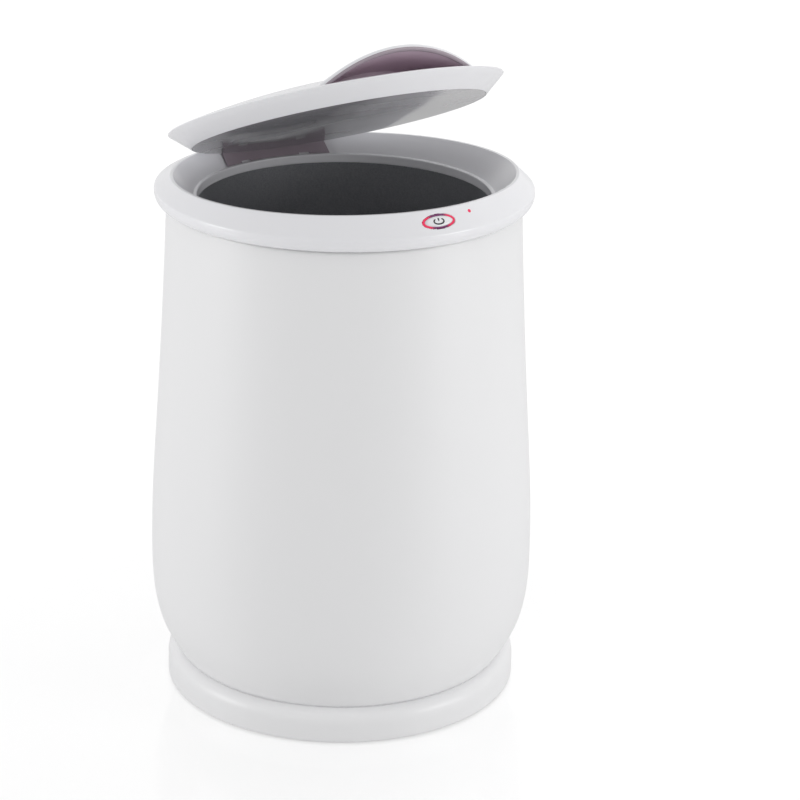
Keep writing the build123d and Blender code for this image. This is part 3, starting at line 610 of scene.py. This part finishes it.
class BUCKET_OT_plinth(bpy.types.Operator):
    """Make the plinth ring with its softened edges"""

    bl_idname = "bucket.plinth"
    bl_label = "Plinth"

    def execute(self, context):
        inner = PLINTH_RADIUS - PLINTH_WALL
        under = PLINTH_TOP - PLINTH_FLOOR
        corners = [(PLINTH_RADIUS, PLINTH_BOTTOM, PLINTH_FOOT_ROUND),
                   (PLINTH_RADIUS, PLINTH_TOP, bucket_settings().plinth_shoulder),
                   (PLINTH_BORE, PLINTH_TOP, PLINTH_EDGE_ROUND),
                   (PLINTH_BORE, under, PLINTH_EDGE_ROUND),
                   (inner, under, PLINTH_INNER_ROUND),
                   (inner, PLINTH_BOTTOM, PLINTH_EDGE_ROUND)]
        piece = turned("plinth_ring", rounded(corners), satin_abs())
        stand_for(piece, "base_plinth")
        return {"FINISHED"}


class BUCKET_OT_collar(bpy.types.Operator):
    """Make the collar, whose profile turns round the axis while its crest leans back"""

    bl_idname = "bucket.collar"
    bl_label = "Collar"

    def profile(self):
        """Elliptical foot, a cubic from bulge to ridge, then the face, crest, seat and throat."""
        q = np.linspace(0, np.pi / 2, 14)[:, None]
        foot = np.concatenate([FOOT_RADIUS + (BULGE[0] - FOOT_RADIUS) * np.sin(q),
                               BULGE[1] - (BULGE[1] - SEAM) * np.cos(q)], 1)
        t = np.linspace(0, 1, 10)[1:, None]
        start, end = np.array(BULGE), np.array(RIDGE)
        leave, arrive = np.array(BULGE_LEAVE), np.array(RIDGE_ARRIVE)
        ridge = (start * (2 * t ** 3 - 3 * t ** 2 + 1) + leave * (t ** 3 - 2 * t ** 2 + t)
                 + end * (3 * t ** 2 - 2 * t ** 3) + arrive * (t ** 3 - t ** 2))
        top = rounded([(*RIDGE, 0), (*CREST, CREST_ROUND), (*SEAT, CREST_ROUND), (*SEAT_FOOT, SEAT_ROUND),
                       (THROAT[0], SEAT_FOOT[1], SEAT_ROUND), (*THROAT, 0)], closed=False)
        face = filled(top[:2], FACE_STEP)
        return np.concatenate([foot, ridge, face[1:], filled(top[2:], SEAT_STEP)])

    def columns(self):
        """Angles from the rear, with lines along the sides of the slots and of the cover. Each span
        between two marks is divided evenly into its count."""
        sides = [math.degrees(math.asin(x / STRAIGHT_RADIUS)) for x in (*SLOTS[:2], COVER_HALF)]
        marks = [0, *sides, REAR_LINES, BUTTON_LINES, 180]
        counts = [7, 4, 6, 11, 83, 25]
        spans = [np.linspace(a, b, n, endpoint=False) for a, b, n in zip(marks, marks[1:], counts)]
        half = np.concatenate([*spans, [180]])
        return np.radians(np.concatenate([half, -half[-2:0:-1]]))

    def kept(self, middle):
        """Everything but the arms' slots and the ellipse that the button moves in."""
        across = (abs(middle[:, 0]) > SLOTS[0]) & (abs(middle[:, 0]) < SLOTS[1])
        along = (middle[:, 1] > SLOTS[2]) & (middle[:, 1] < SLOTS[3])
        slot = across & along & (middle[:, 2] > SEAT_FOOT[1] + SLOT_FLOOR)
        place = middle - CONTROL
        inside = (place[:, 0] / BUTTON_HOLE[0]) ** 2 + (place @ FACE_UP / BUTTON_HOLE[1]) ** 2 < 1
        return ~(slot | inside & (abs(place @ FACE_OUT) < BUTTON_DEPTH))

    def execute(self, context):
        outline = self.profile()
        radius, height = outline[None, :, 0], outline[None, :, 1]
        rear = self.columns()[:, None]
        straight = np.clip((STRAIGHT_END - abs(rear)) / STRAIGHT_FADE, 0, 1)
        straight = straight * straight * (3 - 2 * straight)
        side = np.arcsin(np.clip(STRAIGHT_RADIUS * np.sin(rear) / radius, -1, 1))
        angle = (1 - straight) * rear + straight * side
        x, y = radius * np.sin(angle), radius * np.cos(angle)
        foot = np.where(radius > SEAT[0] + CREST_ROUND, RIDGE[1], SEAT_FOOT[1])
        share = np.clip((height - foot) / (CREST[1] - foot), 0, 1)
        z = height - share * math.tan(RIM_TILT) * np.cos(angle) * np.clip(radius, SEAT[0], CREST[0])
        covered = (abs(x) < COVER_HALF + HAIR) & (y > 0) & (y < COVER_REAR)
        covered = covered & (radius > SEAT_FOOT[0]) & (radius < SEAT[0])
        points = np.stack([x, y, z - COVER_DEPTH * covered], -1)
        piece = woven("collar_skin", points[::-1], gloss_abs(), along=False, kept=self.kept)
        wall = piece.modifiers.new("wall", "SOLIDIFY")
        wall.thickness = bucket_settings().collar_wall * MM
        wall.offset = -1
        stand_for(piece, "collar")
        return {"FINISHED"}


class BUCKET_OT_hood(bpy.types.Operator):
    """Make the hood, a barrel vault cut to a bow in front, and the rim of the lining under it"""

    bl_idname = "bucket.hood"
    bl_label = "Hood"

    def vault(self, name, depth, back, along, made):
        """A section given as depth under the vault, distance back from the bow and share of the length,
        carried over the arch from foot to foot and closed to a point at both. The arch slopes, so its
        width depends on how far forward a point is, and the bow makes that depend on its distance from
        the middle: each of eight rounds works out the one and then the other."""
        depth, back, along = depth[None], back[None], along[None]
        share = np.sin(np.linspace(-np.pi / 2, np.pi / 2, 91))[:, None]
        radius = ARCH_RADIUS - depth
        sine, cosine = math.sin(ARCH_SLOPE), math.cos(ARCH_SLOPE)
        axis_y = -HOOD_FRONT - ARCH_RADIUS * sine
        axis_z = ARCH_PEAK - ARCH_RADIUS * cosine
        centre = HOOD_FRONT_RADIUS - HOOD_FRONT
        y = -HOOD_FRONT
        for _ in range(8):
            drop = (SHELF - axis_z) * cosine + (y - axis_y) * sine
            x = share * np.sqrt(radius ** 2 - drop ** 2)
            front = centre - np.sqrt(HOOD_FRONT_RADIUS ** 2 - x ** 2) + back
            y = -HOOD_BACK + along * (front + HOOD_BACK)
        z = axis_z + (np.sqrt(radius ** 2 - x ** 2) - (y - axis_y) * sine) / cosine
        grid = to_rest(np.stack([x, y, z], -1))
        ends = np.broadcast_to(grid.mean(1, keepdims=True), grid.shape)
        grid = np.concatenate([ends[:1], grid, ends[-1:]])
        return woven(name, grid[::-1], made, across=False)

    def execute(self, context):
        settings = bucket_settings()
        turn = np.linspace(0, np.pi / 2, 6)
        sine, cosine = np.sin(turn), np.cos(turn)
        over, under = settings.hood_edge * (1 - sine), settings.hood_edge * (1 - cosine)
        run = np.linspace(0, HOOD_RUN, 20)
        flat, whole = np.zeros_like(run), np.ones_like(turn)
        depth = np.concatenate([HOOD_LIFT * (run - 1), under, settings.hood_wall - under[::-1],
                                flat + settings.hood_wall])
        back = np.concatenate([flat, over, over[::-1], flat])
        along = np.concatenate([run, whole, whole, run[::-1]])
        hood = self.vault("hood", depth, back, along, gloss_abs())
        stand_for(hood, "lid_hood", "lid")

        # The lining's rim takes the darker cover grey instead of the pale lining's mauve: painted shade
        depth = LIP_START + np.concatenate([LIP_DEPTH * sine, (LIP_DEPTH - LIP_WALL) * sine[::-1]])
        reach = np.concatenate([(LIP_REACH + LIP_PROUD) * cosine, (LIP_REACH - LIP_WALL) * cosine[::-1]])
        lip = self.vault("grip_lip", depth, LIP_REACH - reach, np.ones_like(depth), cover_abs_and_rim_shade())
        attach(lip, "lid")
        return {"FINISHED"}


class BUCKET_OT_symbol(bpy.types.Operator):
    """Print the standby sign on the button: a broken ring and a bar, as flat strokes of ink"""

    bl_idname = "bucket.symbol"
    bl_label = "Standby sign"

    def stroke(self, name, path, ink):
        """A stroke along a path on the face: an ellipse carried along it, whose size falls to nothing at
        both ends as the root of one less the twelfth power of the place along it."""
        run = np.gradient(path, axis=0)
        across = np.stack([-run[:, 1], run[:, 0]], -1) / np.hypot(*run.T)[:, None]
        taper = np.sqrt(np.clip(1 - np.linspace(-1, 1, len(path)) ** 12, 0, 1))[:, None, None]
        around = np.linspace(0, 2 * np.pi, 12, endpoint=False)[None, :, None]
        flat = path[:, None] + across[:, None] * np.cos(around) * SIGN_WIDTH / 2 * taper
        high = SIGN_LEVEL + SIGN_RISE * np.sin(around) * taper
        points = CONTROL + flat[..., :1] * [1, 0, 0] + flat[..., 1:] * FACE_UP + high * FACE_OUT
        piece = woven(name, points, ink, across=False)
        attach(piece, "button")

    def execute(self, context):
        ink = printed_ink()
        turn = np.radians(np.linspace(90 + SIGN_GAP / 2, 450 - SIGN_GAP / 2, 60))
        ring = np.stack([SIGN_RADIUS * np.cos(turn), SIGN_HEIGHT * np.sin(turn)], -1)
        self.stroke("sign_ring", ring, ink)
        bar = np.stack([np.zeros(12), np.linspace(*SIGN_BAR, 12)], -1)
        self.stroke("sign_bar", bar, ink)
        return {"FINISHED"}


class BUCKET_OT_smooth(bpy.types.Operator):
    """Shade the lid and the button as the smooth mouldings they are"""

    bl_idname = "bucket.smooth"
    bl_label = "Smooth mouldings"

    def execute(self, context):
        white = gloss_abs()
        for node, body, sharp in (("lid_shell", "lid", 11.0), ("power_button", "button", 35.0)):
            stand_for(merged(node, white, sharp), node, body)
        return {"FINISHED"}


def soft_box(name, power, azimuth, elevation, size):
    """A square area lamp that faces the object from an azimuth and elevation in degrees."""
    a = math.radians(azimuth)
    e = math.radians(elevation)
    away = Vector((math.sin(a) * math.cos(e), -math.cos(a) * math.cos(e), math.sin(e)))
    data = bpy.data.lights.new(name, "AREA")
    data.size = size
    data.energy = power
    lamp = bpy.data.objects.new(name, data)
    lamp.location = Vector((0, 0, LAMP_AIM)) + away * LAMP_DISTANCE
    lamp.rotation_mode = "QUATERNION"
    lamp.rotation_quaternion = (-away).to_track_quat("-Z", "Y")
    bpy.context.scene.collection.objects.link(lamp)


def camera_matrix(settings):
    """Orbit to the elevation, then yaw, pitch and roll, then turn by the heading about Z."""
    e = settings.camera_elevation
    forward = Vector((0, math.cos(e), -math.sin(e)))
    right = Vector((1, 0, 0))
    up = right.cross(forward)
    place = -forward * settings.camera_distance + Vector((0, 0, settings.camera_height))
    yaw = Matrix.Rotation(settings.camera_yaw, 3, up)
    forward, right = yaw @ forward, yaw @ right
    pitch = Matrix.Rotation(settings.camera_pitch, 3, right)
    forward, up = pitch @ forward, pitch @ up
    roll = Matrix.Rotation(settings.camera_roll, 3, forward)
    right, up = roll @ right, roll @ up
    turn = Matrix.Rotation(-settings.camera_heading, 3, "Z")
    columns = [turn @ v for v in (right, up, -forward, place)]
    matrix = Matrix.Identity(4)
    for i, column in enumerate(columns):
        matrix.col[i][:3] = column
    return matrix


class BUCKET_OT_stage(bpy.types.Operator):
    """Set the camera, the pale floor and the soft studio light"""

    bl_idname = "bucket.stage"
    bl_label = "Stage"

    def execute(self, context):
        scene, settings = context.scene, bucket_settings()
        data = bpy.data.cameras.new("camera")
        data.lens = settings.lens
        data.clip_end = 50
        camera = bpy.data.objects.new("camera", data)
        camera.matrix_world = camera_matrix(settings)
        scene.collection.objects.link(camera)
        scene.camera = camera
        scene.view_settings.view_transform = "Standard"
        self.floor(scene, settings)
        self.world(scene, settings)
        front = -math.degrees(settings.camera_heading)
        soft_box("left soft box", settings.left_lamp, azimuth=front - 76, elevation=10, size=0.9)
        soft_box("right soft box", settings.right_lamp, azimuth=front + 66, elevation=10, size=0.9)
        soft_box("rear soft box", settings.rear_lamp, azimuth=front + 125, elevation=52, size=1.3)
        return {"FINISHED"}

    def floor(self, scene, settings):
        """A level disc, one ring of points about the object, whose tone and glow differ to the eye."""
        turns = np.linspace(0, 2 * np.pi, 96, endpoint=False)
        ring = np.stack([FLOOR_RADIUS * np.cos(turns), FLOOR_RADIUS * np.sin(turns), 0 * turns], -1)
        mesh = bpy.data.meshes.new("floor")
        mesh.from_pydata(ring.tolist(), [], [list(range(len(ring)))])
        floor = bpy.data.objects.new("floor", mesh)
        scene.collection.objects.link(floor)
        made, tree, principled = material("polished floor", IOR=1.8, Emission_Color=(1, 1, 1, 1))
        path = add(tree, "ShaderNodeLightPath")
        tone = add(tree, "ShaderNodeMapRange", [("Value", path.outputs["Is Camera Ray"])],
                   To_Min=settings.floor_bounce, To_Max=settings.floor_tone)
        tree.links.new(tone.outputs["Result"], principled.inputs["Base Color"])
        glow = add(tree, "ShaderNodeMapRange", [("Value", path.outputs["Is Camera Ray"])],
                   To_Min=0.0, To_Max=settings.floor_glow)
        tree.links.new(glow.outputs["Result"], principled.inputs["Emission Strength"])
        grain(tree, principled, size_mm=400.0, height_mm=0.05, roughness=(0.04, 0.08), detail=0.0)
        mesh.materials.append(made)

    def world(self, scene, settings):
        """White to the eye and in reflections, and dimmer as a source of light."""
        world = bpy.data.worlds.new("studio")
        world.use_nodes = True
        tree = world.node_tree
        path = add(tree, "ShaderNodeLightPath")
        camera, through_glass = path.outputs["Is Camera Ray"], path.outputs["Is Transmission Ray"]
        seen = add(tree, "ShaderNodeMath", [(0, camera), (1, through_glass)], operation="MAXIMUM")
        shown = add(tree, "ShaderNodeMath", [(0, seen.outputs[0]), (1, path.outputs["Is Glossy Ray"])],
                    operation="MAXIMUM")
        level = add(tree, "ShaderNodeMapRange", [("Value", shown.outputs[0])],
                    To_Min=settings.ambient, To_Max=1.0)
        tree.links.new(level.outputs["Result"], tree.nodes["Background"].inputs["Strength"])
        tree.nodes["Background"].inputs["Color"].default_value = (1, 1, 1, 1)
        scene.world = world


class BUCKET_PT_panel(bpy.types.Panel):
    """Sidebar panel that lists the steps and the settings"""

    bl_label = "Towel warmer bucket"
    bl_idname = "BUCKET_PT_panel"
    bl_space_type = "VIEW_3D"
    bl_region_type = "UI"
    bl_category = "Towel warmer"

    def draw(self, context):
        for step in STEPS:
            self.layout.operator(step.bl_idname)
        for name in BucketSettings.__annotations__:
            self.layout.prop(context.scene.bucket, name)


STEPS = [BUCKET_OT_stage, BUCKET_OT_finishes, BUCKET_OT_body, BUCKET_OT_plinth, BUCKET_OT_collar,
         BUCKET_OT_smooth, BUCKET_OT_hood, BUCKET_OT_symbol]
CLASSES = [BucketSettings, *STEPS, BUCKET_PT_panel]


def register():
    for each in CLASSES:
        bpy.utils.register_class(each)
    bpy.types.Scene.bucket = bpy.props.PointerProperty(type=BucketSettings)


def unregister():
    del bpy.types.Scene.bucket
    for each in reversed(CLASSES):
        bpy.utils.unregister_class(each)


def main():
    register()
    for step in STEPS:
        group, name = step.bl_idname.split(".")
        getattr(getattr(bpy.ops, group), name)()


if __name__ == "__main__":
    main()
